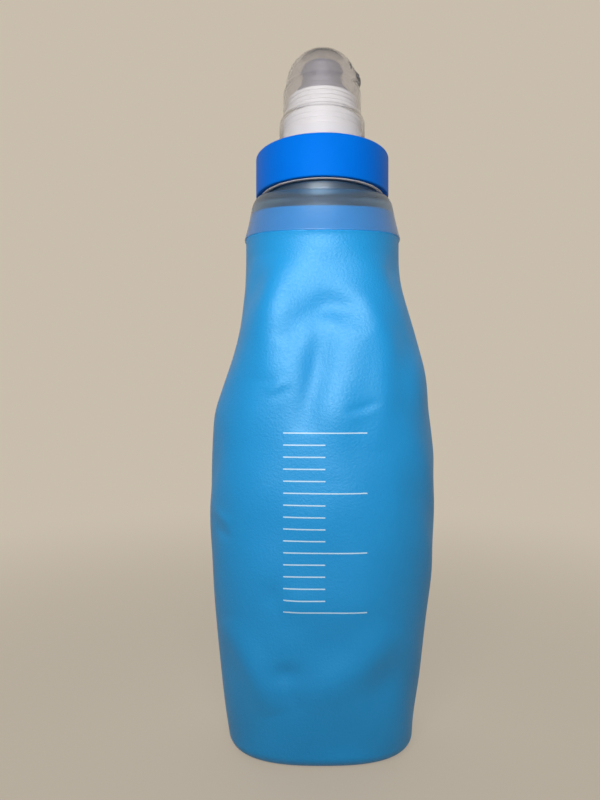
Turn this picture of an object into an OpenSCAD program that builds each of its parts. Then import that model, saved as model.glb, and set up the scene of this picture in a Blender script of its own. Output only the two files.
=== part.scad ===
// Soft folding water bottle: a welded film body, a clear moulded neck, and a screw cap whose
// push-pull spout sits under a clear dome. The origin is at the middle of the base, +Z runs up
// the bottle's axis, and the front faces -Y. Sizes are in millimetres.

/* [Film body] */
// Height of the film, from the floor to its welded upper edge
film_h = 192.5; // [160:0.5:240]
// Thickness of the film
film_t = 0.7; // [0.5:0.1:1]
// Width of the base oval
base_w = 68.5; // [60:0.5:80]
// Depth of the base oval
base_d = 48; // [40:0.5:56]
// Squareness of the base oval, where 2 is an ellipse
base_square = 2.6; // [2:0.1:3.2]
// Radius of the foot's round edge
foot_round = 5; // [3:0.5:8]
// Width of the flat lip that the base panel is welded to
foot_lip = 4; // [3:0.5:6]
// Thickness of the base panel
base_t = 1; // [0.6:0.1:2]
// Width of the weld between the base panel and the lip
base_weld = 3; // [1.5:0.5:3]
// Width at the belly
belly_w = 84.8; // [74:0.2:100]
// Depth at the belly
belly_d = 60; // [56:0.5:76]
// Height of the belly's widest point
belly_z = 90; // [70:1:120]
// Squareness of the belly, where 2 is an ellipse
belly_square = 2.3; // [2:0.1:3]
// Distance from the film's upper edge down to the throat
throat_drop = 14.5; // [12:0.5:24]
// How far the throat's sides stand in from the collar's skirt
throat_in = 0.6; // [0.2:0.1:1]

/* [Neck collar] */
// Bore of the neck
neck_bore_d = 36.8; // [32:0.2:44]
// Wall of the neck
neck_wall = 2.2; // [1.6:0.1:3]
// How far the shoulder's rim stands out from the neck
shoulder_w = 4.3; // [3:0.1:5]
// Height of the shoulder above the film's upper edge
shoulder_rise = 6.4; // [5:0.1:10]
// Wall of the shoulder
shoulder_t = 2.4; // [1.8:0.1:3]
// Growth in radius from the shoulder's rim to the skirt's edge
skirt_flare = 4.5; // [3.5:0.1:6]
// How far the skirt laps down over the film at the front and back
skirt_lap = 8.8; // [7.5:0.1:11]
// How much lower the skirt's edge is at the front and back than at the sides
skirt_dip = 3.2; // [2:0.1:6]
// Thickness of the skirt at its edge
skirt_t = 1.2; // [0.8:0.1:1.6]

/* [Screw cap] */
// Room for the thread between the neck and the cap's skirt
thread_space = 1.4; // [1:0.1:2]
// Wall of the cap's white skirt
cap_skirt_t = 1.2; // [1:0.1:2.2]
// How far the white skirt shows below the blue ring
skirt_show = 0.2; // [0.1:0.1:1]
// Wall of the blue ring
ring_t = 1.8; // [1.2:0.1:2.4]
// Height of the blue ring
ring_h = 14.9; // [13:0.1:20]
// Radius of the ring's round edges
ring_round = 0.9; // [0.4:0.1:1]
// Gap between the shoulder and the ring
ring_lift = 4.3; // [2:0.1:6]
// Thickness of the ring's inward lip on top
ring_lip_t = 1.6; // [1.2:0.1:2.4]
// Thickness of the cap's deck
deck_t = 1.8; // [1.4:0.1:3]
// Thickness of the flat gasket under the deck
gasket_t = 1.4; // [1:0.1:2]

/* [Spout tower] */
// Diameter of the tower's foot
tower_d = 29.8; // [28:0.2:32]
// Height of the tower's foot above the deck
tower_foot_h = 9.6; // [6:0.2:12]
// Height of the plain stretch above the foot
tower_plain_h = 6.4; // [4:0.2:9]
// Height of the beaded stretch
tower_bead_h = 7.9; // [6:0.1:12]
// Inset of the plain stretch from the foot
tower_plain_in = 0.5; // [0.3:0.1:0.8]
// Inset of the beads' crests from the foot
bead_in = 1.45; // [1:0.05:1.8]
// Radius of one bead's section
bead_r = 0.5; // [0.3:0.05:0.7]
// Number of beads
bead_count = 5; // [2:1:6]
// Wall of the tower
tower_t = 1.5; // [1.2:0.1:2.4]
// Thickness of the tower's top
tower_top_t = 1.6; // [1.2:0.1:2.4]
// Diameter of the stem that the spout slides on
stem_d = 10.6; // [10:0.2:12]
// Height of the stem above the tower
stem_h = 7.6; // [6.5:0.1:8.5]
// Bore of the stem
stem_bore_d = 6.4; // [5.8:0.1:6.8]
// Diameter of the sealing post inside the stem
post_d = 4.2; // [3.4:0.1:4.4]
// Thickness of the spokes that hold the post
spoke_t = 1.2; // [1:0.1:1.6]
// Depth of the seal's groove in the stem
groove_depth = 1; // [0.8:0.05:1.1]
// Height of the seal's groove
groove_h = 1.3; // [1.2:0.05:1.8]

/* [Spout] */
// Height of the spout
spout_h = 13.2; // [12:0.1:16]
// Wall of the spout around the stem
spout_t = 1.8; // [1.2:0.1:2.2]
// Diameter of the spout's grip flange
flange_d = 20; // [18:0.2:22]
// Thickness of the grip flange
flange_t = 3.4; // [2.4:0.1:4]
// Radius of the grip flange's edges
flange_round = 0.9; // [0.4:0.1:1.1]
// Radius of the spout's round tip
tip_round = 2.4; // [1.5:0.1:3]
// Thickness of the tip around the sealing post
tip_t = 2.6; // [2:0.1:3]
// Travel of the spout from shut to open
spout_travel = 3; // [2.8:0.1:5]

/* [Dust cover] */
// Wall of the dust cover
cover_t = 1.2; // [0.9:0.1:1.6]
// Step from the beaded stretch in to the dome
dome_step = 1; // [0.6:0.1:1.4]
// Width of the pull lip, as an angle
pull_angle = 52; // [30:1:80]
// How far the pull lip stands out from the dome
pull_out = 0.9; // [0.5:0.1:1.4]
// Height of the pull lip
pull_h = 3.2; // [2.4:0.1:4]
// Width of the vent slot
vent_w = 1.1; // [0.8:0.1:1.6]
// Height of the vent slot
vent_h = 2.7; // [2:0.1:3.6]
// Direction of the vent slot around the dome
vent_angle = -38; // [-60:1:-32]

/* [Clearances] */
// Room between the film and the collar's pocket
weld_gap = 0.05; // [0.03:0.01:0.1]
// Room between the film's bulge and the skirt's edge
edge_gap = 0.3; // [0.2:0.1:0.8]
// Room between the ring and the cap's skirt
ring_fit = 0.03; // [0.02:0.01:0.1]
// Room between the gasket and the cap's skirt
gasket_fit = 0.3; // [0.1:0.1:0.8]
// Room between the ring's lip and the dust cover
lip_gap = 1; // [0.5:0.1:2]
// Room between the cover and the tower
cover_fit = 0.15; // [0.1:0.05:0.4]
// Height between the tower's plain stretch and the cover's inner step
step_gap = 0.6; // [0.3:0.1:1]
// Room between the spout and its stem and post
slide_fit = 0.1; // [0.06:0.01:0.15]
// Room around the stem's seal
seal_fit = 0.03; // [0.02:0.01:0.04]
// Room between the open spout and the dome
dome_gap = 0.6; // [0.4:0.1:1.5]

/* [Hidden] */

$fn = 96;

// Rows and columns of the film's mesh
half_turn = 180;
quarter_turn = 90;
film_columns = 24;
pocket_rows = 2;
throat_rows = 4;
wall_rows = 13;
foot_rows = 4;

// Forms of the film's sides: swell above the base, slope under the neck, bulge below the skirt
base_swell = 1.4;
neck_slope = 1.35;
bulge_rise = 4;
row_crowding = 1.5;

// Form of the collar: share of its growth that is in the flared edge, how the flare bends,
// and how sharply the shoulder turns in
flare_share = 0.64;
flare_bend = 1.6;
shoulder_turn = 10;
collar_steps = 14;

// Points along a round edge, and along the dome
round_steps = 5;
dome_steps = 14;

spoke_count = 3;

// Radii from the neck outwards
neck_bore_r = neck_bore_d / 2;
neck_r = neck_bore_r + neck_wall;
shoulder_r = neck_r + shoulder_w;
skirt_r = shoulder_r + skirt_flare;
cap_skirt_in_r = neck_r + thread_space;
cap_skirt_r = cap_skirt_in_r + cap_skirt_t;
ring_in_r = cap_skirt_r + ring_fit;
ring_r = ring_in_r + ring_t;
gasket_r = cap_skirt_in_r - gasket_fit;

// Heights from the film upwards
throat_z = film_h - throat_drop;
skirt_z = film_h - skirt_lap;
shoulder_z = film_h + shoulder_rise;
ring_z = shoulder_z + ring_lift;
ring_top_z = ring_z + ring_h;
deck_top_z = ring_top_z - ring_lip_t;
deck_z = deck_top_z - deck_t;
neck_top_z = deck_z - gasket_t;
cap_skirt_z = ring_z - skirt_show;

// Spout tower
tower_r = tower_d / 2;
tower_plain_r = tower_r - tower_plain_in;
bead_crest_r = tower_r - bead_in;
tower_neck_r = bead_crest_r - bead_r;
tower_bore_r = tower_neck_r - tower_t;
tower_foot_z = deck_top_z + tower_foot_h;
tower_plain_z = tower_foot_z + tower_plain_h;
tower_top_z = tower_plain_z + tower_bead_h;
bead_pitch = tower_bead_h / bead_count;
stem_r = stem_d / 2;
stem_bore_r = stem_bore_d / 2;
stem_top_z = tower_top_z + stem_h;
post_r = post_d / 2;
groove_r = stem_r - groove_depth;
groove_z = tower_top_z + stem_h / 2;
seal_section_r = (groove_depth + slide_fit - 2 * seal_fit) / 2;

// Spout
spout_top_z = tower_top_z + spout_h;
spout_bore_r = stem_r + slide_fit;
spout_r = spout_bore_r + spout_t;
flange_r = flange_d / 2;
tip_r = spout_r - tip_round;
tip_hole_r = post_r + slide_fit;

// Dust cover
band_in_r = tower_r + cover_fit;
band_r = band_in_r + cover_t;
sleeve_in_r = bead_crest_r + cover_fit;
sleeve_r = sleeve_in_r + cover_t;
dome_r = sleeve_r - dome_step;
dome_in_r = dome_r - cover_t;
cover_step_z = tower_plain_z + step_gap;
band_top_z = cover_step_z + cover_t;
dome_z = spout_top_z + spout_travel + dome_gap - sqrt(pow(dome_in_r, 2) - pow(tip_r, 2));

// Film body
base_a = base_w / 2;
base_b = base_d / 2;
belly_a = belly_w / 2;
belly_b = belly_d / 2;
throat_a = skirt_r - throat_in;
throat_b = pocket_edge_r() - weld_gap;

function mix(from, to, share) = from + (to - from) * share;

// Points of an arc about [r, z], from one angle to another
function arc(r, z, radius, from, to, steps) =
  [for (i = [0:steps]) let (a = mix(from, to, i / steps)) [r + radius * cos(a), z + radius * sin(a)]];

// Outer radius of the collar at a height between the skirt's edge and the shoulder
function collar_r(z) =
  let (u = (z - skirt_z) / (shoulder_z - skirt_z))
  shoulder_r + skirt_flare * mix(1 - pow(u, shoulder_turn), pow(1 - u, flare_bend), flare_share);

// Inner radius of the shoulder, parallel to its outside
function shoulder_in_r(z) = collar_r(z + shoulder_t) - shoulder_t;

// The pocket under the skirt is a cone that the film's upper edge is welded into
function pocket_top_r() = shoulder_in_r(film_h) + film_t + weld_gap;
function pocket_edge_r() = skirt_r - skirt_t;
function pocket_r(z) = mix(pocket_edge_r(), pocket_top_r(), (z - skirt_z) / skirt_lap);

// The skirt's edge is trimmed by a cylinder that lies front to back
edge_r = (pow(skirt_r, 2) + pow(skirt_dip, 2)) / (2 * skirt_dip);
function edge_z(x) = skirt_z + edge_r - sqrt(pow(edge_r, 2) - pow(x, 2));

// Share of the way from the base to the belly, or from the throat to the belly, at a height
function low_share(z) = (z - foot_round) / (belly_z - foot_round);
function high_share(z) = (z - belly_z) / (throat_z - belly_z);
function swell(u) = 1 - pow(1 - u, base_swell);
function slope(u) = (1 + cos(half_turn * pow(u, neck_slope))) / 2;
function side(z, base, belly, throat) =
  z < belly_z ? mix(base, belly, swell(low_share(z))) : mix(throat, belly, slope(high_share(z)));
function squareness(z) =
  z < belly_z ? mix(base_square, belly_square, low_share(z)) : mix(belly_square, 2, high_share(z));

// Point of an oval with half-axes a and b at an angle from 0 to 180
function oval(a, b, n, angle) =
  [sign(cos(angle)) * a * pow(abs(cos(angle)), 2 / n), b * pow(abs(sin(angle)), 2 / n)];

// Points of the film at one angle, from its upper edge to the lip, at a depth below its outside
function pocket_points(angle, depth) =
  let (low_z = edge_z(pocket_top_r() * cos(angle)) - edge_gap)
  [for (i = [0:pocket_rows])
    let (z = mix(film_h, low_z, i / pocket_rows), r = pocket_r(z) - weld_gap - depth)
    concat(oval(r, r, 2, angle), z)];

function throat_points(angle, depth) =
  let (start = pocket_points(angle, depth)[pocket_rows])
  let (end = concat(oval(throat_a - depth, throat_b - depth, 2, angle), throat_z))
  [for (i = [1:throat_rows])
    let (u = pow(i / throat_rows, row_crowding), w = 1 - pow(1 - u, bulge_rise))
    [mix(start.x, end.x, w), mix(start.y, end.y, w), mix(start.z, end.z, u)]];

function wall_points(angle, depth) =
  [for (i = [1:wall_rows])
    let (z = mix(throat_z, foot_round, i / wall_rows))
    let (a = side(z, base_a, belly_a, throat_a) - depth, b = side(z, base_b, belly_b, throat_b) - depth)
    concat(oval(a, b, squareness(z), angle), z)];

function foot_points(angle, depth) =
  [for (i = [1:foot_rows])
    let (turn = quarter_turn * i / foot_rows, radius = foot_round - depth)
    concat(base_point(foot_round - radius * cos(turn), angle), foot_round - radius * sin(turn))];

function base_point(inset, angle) = oval(base_a - inset, base_b - inset, base_square, angle);

function film_points(angle, depth) =
  concat(
    pocket_points(angle, depth),
    throat_points(angle, depth),
    wall_points(angle, depth),
    foot_points(angle, depth),
    [concat(base_point(foot_round + foot_lip, angle), depth)]
  );

// The rear half of the film as one closed skin, with its outside first and its inside after it
module film_half() {
  angles = [for (k = [0:film_columns]) half_turn * k / film_columns];
  outside = [for (angle = angles) each film_points(angle, 0)];
  inside = [for (angle = angles) each film_points(angle, film_t)];
  rows = len(outside) / len(angles);
  skin = len(outside);
  function at(j, k) = k * rows + j;
  function quad(a, b, c, d) = [[a, b, c], [a, c, d]];
  last = rows - 1;
  end = film_columns;
  walls = [for (k = [0:end - 1], j = [0:last - 1])
    each concat(
      quad(at(j, k), at(j, k + 1), at(j + 1, k + 1), at(j + 1, k)),
      quad(skin + at(j, k), skin + at(j + 1, k), skin + at(j + 1, k + 1), skin + at(j, k + 1))
    )];
  seams = [for (j = [0:last - 1])
    each concat(
      quad(skin + at(j, 0), at(j, 0), at(j + 1, 0), skin + at(j + 1, 0)),
      quad(at(j, end), skin + at(j, end), skin + at(j + 1, end), at(j + 1, end))
    )];
  rims = [for (k = [0:end - 1])
    each concat(
      quad(at(0, k), skin + at(0, k), skin + at(0, k + 1), at(0, k + 1)),
      quad(at(last, k), at(last, k + 1), skin + at(last, k + 1), skin + at(last, k))
    )];
  polyhedron(concat(outside, inside), concat(walls, seams, rims));
}

module front_panel() {
  color("#3592d6") mirror([0, 1, 0]) film_half();
}

module rear_panel() {
  color("#3592d6") film_half();
}

// Outline of the base at an inset from the film's outside
module base_outline(inset) {
  half = [for (k = [0:film_columns]) base_point(inset, half_turn * k / film_columns)];
  back = [for (k = [1:film_columns - 1]) let (p = half[film_columns - k]) [p.x, -p.y]];
  polygon(concat(half, back));
}

// Flush plate inside the foot's lip, with a flange welded on top of the lip
module base_panel() {
  color("#1f6fae") {
    linear_extrude(film_t + base_t) base_outline(foot_round + foot_lip);
    translate([0, 0, film_t])
      linear_extrude(base_t) base_outline(foot_round + foot_lip - base_weld);
  }
}

module neck_collar() {
  under_z = shoulder_z - shoulder_t;
  outside = [for (i = [0:collar_steps])
    let (z = mix(shoulder_z, skirt_z, i / collar_steps))
    [collar_r(z), z]];
  inside = [for (i = [0:collar_steps])
    let (z = mix(film_h, under_z, i / collar_steps))
    [shoulder_in_r(z), z]];
  color("#c9d3d8", 0.6) intersection() {
    rotate_extrude() polygon(concat(
      [[neck_bore_r, neck_top_z], [neck_r, neck_top_z], [neck_r, shoulder_z]],
      outside,
      [[pocket_edge_r(), skirt_z], [pocket_top_r(), film_h]],
      inside,
      [[neck_bore_r, under_z]]
    ));
    translate([0, 0, skirt_z + edge_r])
      rotate([quarter_turn, 0, 0]) cylinder(r = edge_r, h = 2 * edge_r, center = true);
  }
}

module cap_gasket() {
  color("#e8e8e4") rotate_extrude()
    translate([neck_bore_r, neck_top_z]) square([gasket_r - neck_bore_r, gasket_t]);
}

// Smooth sleeve with a round-edged lip that holds the deck down
module cap_ring() {
  lip_r = band_r + lip_gap;
  color("#0a6ee0") rotate_extrude() polygon(concat(
    [[ring_in_r, ring_z]],
    arc(ring_r - ring_round, ring_z + ring_round, ring_round, -quarter_turn, 0, round_steps),
    arc(ring_r - ring_round, ring_top_z - ring_round, ring_round, 0, quarter_turn, round_steps),
    arc(lip_r + ring_round, ring_top_z - ring_round, ring_round, quarter_turn, half_turn, round_steps),
    [[lip_r, deck_top_z], [ring_in_r, deck_top_z]]
  ));
}

// Screw cap with its stepped tower, beads, stem and sealing post
module cap_body() {
  beads = [for (i = [0:bead_count - 1])
    let (z = tower_plain_z + bead_pitch * i + bead_pitch / 2)
    each arc(tower_neck_r, z, bead_r, -quarter_turn, quarter_turn, round_steps)];
  color("#f2f4f5") {
    rotate_extrude() polygon(concat(
      [[cap_skirt_in_r, cap_skirt_z], [cap_skirt_r, cap_skirt_z], [cap_skirt_r, deck_top_z]],
      [[tower_r, deck_top_z], [tower_r, tower_foot_z]],
      [[tower_plain_r, tower_foot_z], [tower_plain_r, tower_plain_z], [tower_neck_r, tower_plain_z]],
      beads,
      [[tower_neck_r, tower_top_z], [stem_r, tower_top_z]],
      [[stem_r, groove_z - groove_h / 2], [groove_r, groove_z - groove_h / 2]],
      [[groove_r, groove_z + groove_h / 2], [stem_r, groove_z + groove_h / 2]],
      [[stem_r, stem_top_z], [stem_bore_r, stem_top_z], [stem_bore_r, tower_top_z - tower_top_t]],
      [[tower_bore_r, tower_top_z - tower_top_t], [tower_bore_r, deck_z], [cap_skirt_in_r, deck_z]]
    ));
    sealing_post();
  }
}

// Post that shuts the spout's tip, held in the stem by spokes with water ways between them
module sealing_post() {
  spoke_z = stem_top_z - 2 * spoke_t;
  translate([0, 0, spoke_z]) cylinder(r = post_r, h = spout_top_z - spoke_z);
  for (i = [0:spoke_count - 1])
    rotate(i * 2 * half_turn / spoke_count)
      translate([0, -spoke_t / 2, spoke_z]) cube([(stem_bore_r + groove_r) / 2, spoke_t, spoke_t]);
}

module spout_seal() {
  color("#d9dcdc") rotate_extrude()
    translate([groove_r + seal_fit + seal_section_r, groove_z]) circle(seal_section_r);
}

// Sliding spout with a grip flange below and a round tip that the post shuts
module spout() {
  tip_z = spout_top_z - tip_t;
  flange_top_z = tower_top_z + flange_t;
  rim_r = flange_r - flange_round;
  color("#dfe4e6", 0.7) rotate_extrude() polygon(concat(
    [[spout_bore_r, tower_top_z]],
    arc(rim_r, tower_top_z + flange_round, flange_round, -quarter_turn, 0, round_steps),
    arc(rim_r, flange_top_z - flange_round, flange_round, 0, quarter_turn, round_steps),
    [[spout_r, flange_top_z]],
    arc(spout_r - tip_round, spout_top_z - tip_round, tip_round, 0, quarter_turn, round_steps),
    [[tip_hole_r, spout_top_z], [tip_hole_r, tip_z], [spout_bore_r, tip_z - slide_fit]]
  ));
}

// Clear cover: a band over the tower's foot, a sleeve over the beads and a dome over the spout
module dust_cover() {
  band_round = cover_t / 2;
  outside = concat(
    [[band_r, deck_top_z]],
    arc(band_r - band_round, band_top_z - band_round, band_round, 0, quarter_turn, round_steps),
    [[sleeve_r, band_top_z + band_round], [sleeve_r, dome_z - dome_step], [dome_r, dome_z]],
    [for (p = arc(0, dome_z, dome_r, 0, quarter_turn, dome_steps)) [max(p.x, 0), p.y]]
  );
  inside = concat(
    [for (p = arc(0, dome_z, dome_in_r, quarter_turn, 0, dome_steps)) [max(p.x, 0), p.y]],
    [[dome_in_r, dome_z - dome_step], [sleeve_in_r, dome_z - 2 * dome_step]],
    [[sleeve_in_r, cover_step_z], [band_in_r, cover_step_z], [band_in_r, deck_top_z]]
  );
  color("#e6ecee", 0.45) difference() {
    union() {
      rotate_extrude() polygon(concat(outside, inside));
      pull_lip();
    }
    vent_slot();
  }
}

// Middle of the dome's wall at a height
function dome_mid_r(z) = sqrt(pow(dome_r - cover_t / 2, 2) - pow(z - dome_z, 2));

// Ledge on one side of the dome for a fingertip
module pull_lip() {
  low_z = dome_z + cover_t;
  high_z = low_z + pull_h;
  lip_r = dome_r + pull_out;
  rotate(-pull_angle / 2) rotate_extrude(angle = pull_angle) polygon([
    [dome_mid_r(low_z), low_z],
    [lip_r, low_z],
    [lip_r, low_z + cover_t],
    [dome_mid_r(high_z), high_z]
  ]);
}

module vent_slot() {
  vent_z = dome_z + cover_t + pull_h;
  rotate(vent_angle)
    translate([dome_in_r / 2, -vent_w / 2, vent_z - vent_h / 2]) cube([dome_r, vent_w, vent_h]);
}

front_panel();
rear_panel();
base_panel();
neck_collar();
cap_gasket();
cap_ring();
cap_body();
spout_seal();
spout();
dust_cover();
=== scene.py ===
"""Soft folding water bottle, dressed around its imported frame.

Lengths are in millimetres until a mesh is made, and every object is in metres. The origin is at the middle of the
base, +Z runs up the bottle's axis and the front faces -Y.
"""

import math
from collections import namedtuple

import bmesh
import bpy
import numpy as np
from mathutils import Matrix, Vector


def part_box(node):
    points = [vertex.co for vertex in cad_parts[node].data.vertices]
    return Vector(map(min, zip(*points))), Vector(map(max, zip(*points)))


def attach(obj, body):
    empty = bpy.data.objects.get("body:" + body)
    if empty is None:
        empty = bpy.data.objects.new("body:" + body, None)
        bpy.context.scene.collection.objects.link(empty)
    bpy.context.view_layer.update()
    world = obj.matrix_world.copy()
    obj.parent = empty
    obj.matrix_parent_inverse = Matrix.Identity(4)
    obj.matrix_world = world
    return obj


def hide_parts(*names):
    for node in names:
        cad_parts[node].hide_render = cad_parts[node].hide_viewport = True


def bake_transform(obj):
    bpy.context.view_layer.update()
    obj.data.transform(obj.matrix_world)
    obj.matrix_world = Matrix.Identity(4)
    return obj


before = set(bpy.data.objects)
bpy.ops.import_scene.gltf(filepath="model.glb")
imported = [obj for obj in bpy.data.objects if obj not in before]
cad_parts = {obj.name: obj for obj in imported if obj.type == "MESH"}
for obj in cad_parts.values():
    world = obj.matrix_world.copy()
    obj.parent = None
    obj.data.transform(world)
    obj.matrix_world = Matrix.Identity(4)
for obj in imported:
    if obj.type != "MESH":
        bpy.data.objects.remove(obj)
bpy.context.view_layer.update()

MM = 0.001


def reach(node):
    """Half-width, lowest and highest point of a node of the frame, in millimetres."""
    low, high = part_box(node)
    return high.x / MM, low.z / MM, high.z / MM


# Heights and radii that the frame gives
_, _, film_h = reach("front_panel")
_, _, neck_top_z = reach("neck_collar")
ring_r, ring_z, ring_top_z = reach("cap_ring")
cap_skirt_r, cap_skirt_z, post_top_z = reach("cap_body")
_, _, deck_z = reach("cap_gasket")
flange_r, tower_top_z, spout_top_z = reach("spout")
band_r, deck_top_z, cover_top_z = reach("dust_cover")

# Film body: a is a half-width, b a half-depth, and an oval with a squareness of 2 is an ellipse
film_t = 0.7
base_a = 34.25
base_b = 24
base_square = 2.6
foot_round = 5
foot_lip = 4
base_t = 1
base_weld = 3
base_spring = 2.2
belly_a = 42.4
belly_b = 30
belly_z = 90
belly_square = 2.3
throat_drop = 14.5
throat_in = 0.6
throat_step = 0.5
throat_z = film_h - throat_drop
# Weld: the film runs on past the skirt's edge, and sinks into the skirt's wall so that no air is left between them
weld_run = 0.3
weld_sink = 0.12

# Neck collar
neck_bore_r = 18.4
neck_r = 20.6
bead_out = 1.1
bead_h = 3.7
shoulder_r = 24.9
shoulder_z = film_h + 6.4
shoulder_t = 2.4
skirt_r = 29.4
skirt_z = film_h - 8.8
skirt_dip = 3.2
skirt_t = 0.7
pocket_edge_r = skirt_r - skirt_t
pocket_step = 0.5
flare_share = 0.64
flare_bend = 1.6
shoulder_turn = 10
shoulder_fillet = 2.6

# Screw cap and spout tower
cap_skirt_in_r = 22
ring_in_r = cap_skirt_r + 0.03
ring_lip_r = band_r + 1
cover_t = 0.8
cover_gap = 0.2
tower_r = band_r - cover_t - cover_gap
tower_plain_r = tower_r - 0.5
tower_foot_z = deck_top_z + 9.6
tower_plain_z = tower_foot_z + 5.6
tower_bands = 3
band_groove = 0.25
sleeve_r = 14.8
bead_crest_r = sleeve_r - cover_t - cover_gap
bead_depth = 0.6
bead_gap = 0.5
bead_lean = 1.1
bead_count = 5
tower_bore_r = 11.45
tower_top_t = 1.6
stem_r = 5.3
stem_bore_r = 3.2
stem_top_z = tower_top_z + 7.6
groove_z = (tower_top_z + stem_top_z) / 2
groove_r = 4.3
groove_h = 1.3
post_r = 2.1
spoke_t = 1.2
spoke_count = 3

# Spout
spout_bore_r = 5.4
spout_r = 7.8
flange_t = 3.4
tip_round = 2.2
tip_t = 2.6
tip_hole_r = 2.2

# Dust cover
band_in_r = band_r - cover_t
dome_r = 13.8
dome_z = cover_top_z - dome_r
cover_step_z = tower_plain_z - 0.1
cover_taper = 2.2
ledge_h = 2.6
gate_r = 1.3
gate_h = 0.25
gate_draft = 0.1
pull_angle = math.radians(52)
pull_fade = 0.07
pull_rise = 1.2
pull_out = 0.9
pull_h = 3.2
pull_clear = 0.06
# Shares of the pull lip's height, and of how far it stands out there
pull_profile = ((0.02, 0), (0.06, 0.75), (0.12, 1), (0.3, 1), (0.42, 0.9), (1, 0))
vent_angle = math.radians(-38)
vent_w = 1.1
vent_h = 2.7

# Screw thread
thread_pitch = 4
thread_turns = 2.2
cap_thread_turns = 1.7
thread_h = 0.9
thread_w = 1.5
thread_z = ring_z + 0.4

# Printed gauge
gauge_count = 16
gauge_long_every = 5
gauge_pitch = 4
gauge_left = -14
gauge_bottom = 56
gauge_long = 28
gauge_short = 14
gauge_line = 0.42
gauge_lift = 0.06

# Finish of every mesh: points nearer than this merge, and a turn sharper than this stays an edge
double_gap = 0.002
edge_turn = math.radians(38)


def mix(start, end, share):
    """Value at a share of the way from start to end."""
    return start + (end - start) * share


def ease(start, end, value):
    """Smooth rise from 0 at start to 1 at end."""
    share = np.clip((value - start) / (end - start), 0, 1)
    return share * share * (3 - 2 * share)


# Meshes and pieces


def grid_faces(rows, columns, wrap_rows=False, wrap_columns=False):
    """Quads of a grid of points that are counted row by row."""
    return [
        (
            row * columns + column,
            row * columns + (column + 1) % columns,
            (row + 1) % rows * columns + (column + 1) % columns,
            (row + 1) % rows * columns + column,
        )
        for row in range(rows if wrap_rows else rows - 1)
        for column in range(columns if wrap_columns else columns - 1)
    ]


def shade(mesh):
    """Smooth shading that keeps an edge where the surface turns a corner."""
    mesh.shade_smooth()
    mesh.set_sharp_from_angle(angle=edge_turn)


def finish_mesh(mesh):
    """Merges doubles, turns faces outwards and shades the mesh."""
    work = bmesh.new()
    work.from_mesh(mesh)
    bmesh.ops.remove_doubles(work, verts=work.verts, dist=double_gap * MM)
    bmesh.ops.dissolve_degenerate(work, edges=work.edges, dist=double_gap / 2 * MM)
    bmesh.ops.recalc_face_normals(work, faces=work.faces)
    work.to_mesh(mesh)
    work.free()
    shade(mesh)


def new_object(name, points, faces):
    """Finished mesh object from points in millimetres."""
    mesh = bpy.data.meshes.new(name)
    mesh.from_pydata(np.reshape(points, (-1, 3)) * MM, [], faces)
    finish_mesh(mesh)
    made = bpy.data.objects.new(name, mesh)
    bpy.context.scene.collection.objects.link(made)
    return made


def baked(obj):
    """Turns an object's modifiers into its own plain mesh."""
    bpy.context.view_layer.update()
    evaluated = obj.evaluated_get(bpy.context.evaluated_depsgraph_get())
    mesh = bpy.data.meshes.new_from_object(evaluated)
    mesh.name = obj.name
    obj.modifiers.clear()
    obj.data = mesh
    return obj


def finished(obj, material, replaces=()):
    """Gives a piece its material and slot, and hides the nodes of the frame that it stands in for."""
    obj.data.materials.clear()
    obj.data.materials.append(material)
    if replaces:
        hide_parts(*replaces)
    return obj


def fold_with_neck(obj):
    """Bakes the piece's placement into its mesh, and puts it on no body."""
    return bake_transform(obj)


def rounded(corners, steps=5):
    """Outline through corners (r, z, round), each cut back by its round and turned in a curve."""
    outline = []
    points = [np.array(corner[:2], float) for corner in corners]
    for i, (point, corner) in enumerate(zip(points, corners)):
        if corner[2] == 0:
            outline.append(point)
            continue
        ends = []
        for other in (points[i - 1], points[(i + 1) % len(points)]):
            length = np.linalg.norm(other - point)
            ends.append(point + (other - point) * min(corner[2] / length, 0.49))
        for t in np.linspace(0, 1, steps + 1):
            outline.append((1 - t) ** 2 * ends[0] + 2 * t * (1 - t) * point + t**2 * ends[1])
    return np.array(outline)


def turned(name, outlines, columns):
    """Closed outline turned about the axis. A function of the angle gives an outline that changes round the axis."""
    angles = np.arange(columns) * 2 * math.pi / columns
    rows = []
    for angle in angles:
        outline = outlines(angle) if callable(outlines) else outlines
        r, z = outline[:, 0], outline[:, 1]
        rows.append(np.stack([r * math.cos(angle), r * math.sin(angle), z], axis=1))
    points = np.array(rows)
    faces = grid_faces(columns, points.shape[1], wrap_rows=True, wrap_columns=True)
    return new_object(name, points, faces)


# Materials


def linear(code):
    """Linear colour of an sRGB hex code."""
    channels = [int(code[i : i + 2], 16) / 255 for i in (1, 3, 5)]
    return [c / 12.92 if c <= 0.04045 else ((c + 0.055) / 1.055) ** 2.4 for c in channels] + [1]


def per_mm(size):
    """Scale of a noise whose lumps are that many millimetres wide, on Object coordinates in metres."""
    return 1 / (size * MM)


def add(tree, kind, sockets, **settings):
    """One node with its settings. Its sockets are set to values, or linked from other nodes' sockets."""
    made = tree.nodes.new(kind)
    for name, value in settings.items():
        setattr(made, name, value)
    for key, value in sockets.items():
        if isinstance(value, bpy.types.NodeSocket):
            tree.links.new(value, made.inputs[key])
        else:
            made.inputs[key].default_value = value
    return made


def new_material(name):
    """Empty node material, with its tree and the Object coordinates that its patterns read."""
    material = bpy.data.materials.new(name)
    material.use_nodes = True
    tree = material.node_tree
    tree.nodes.clear()
    coords = add(tree, "ShaderNodeTexCoord", {}).outputs["Object"]
    return material, tree, coords


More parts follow.
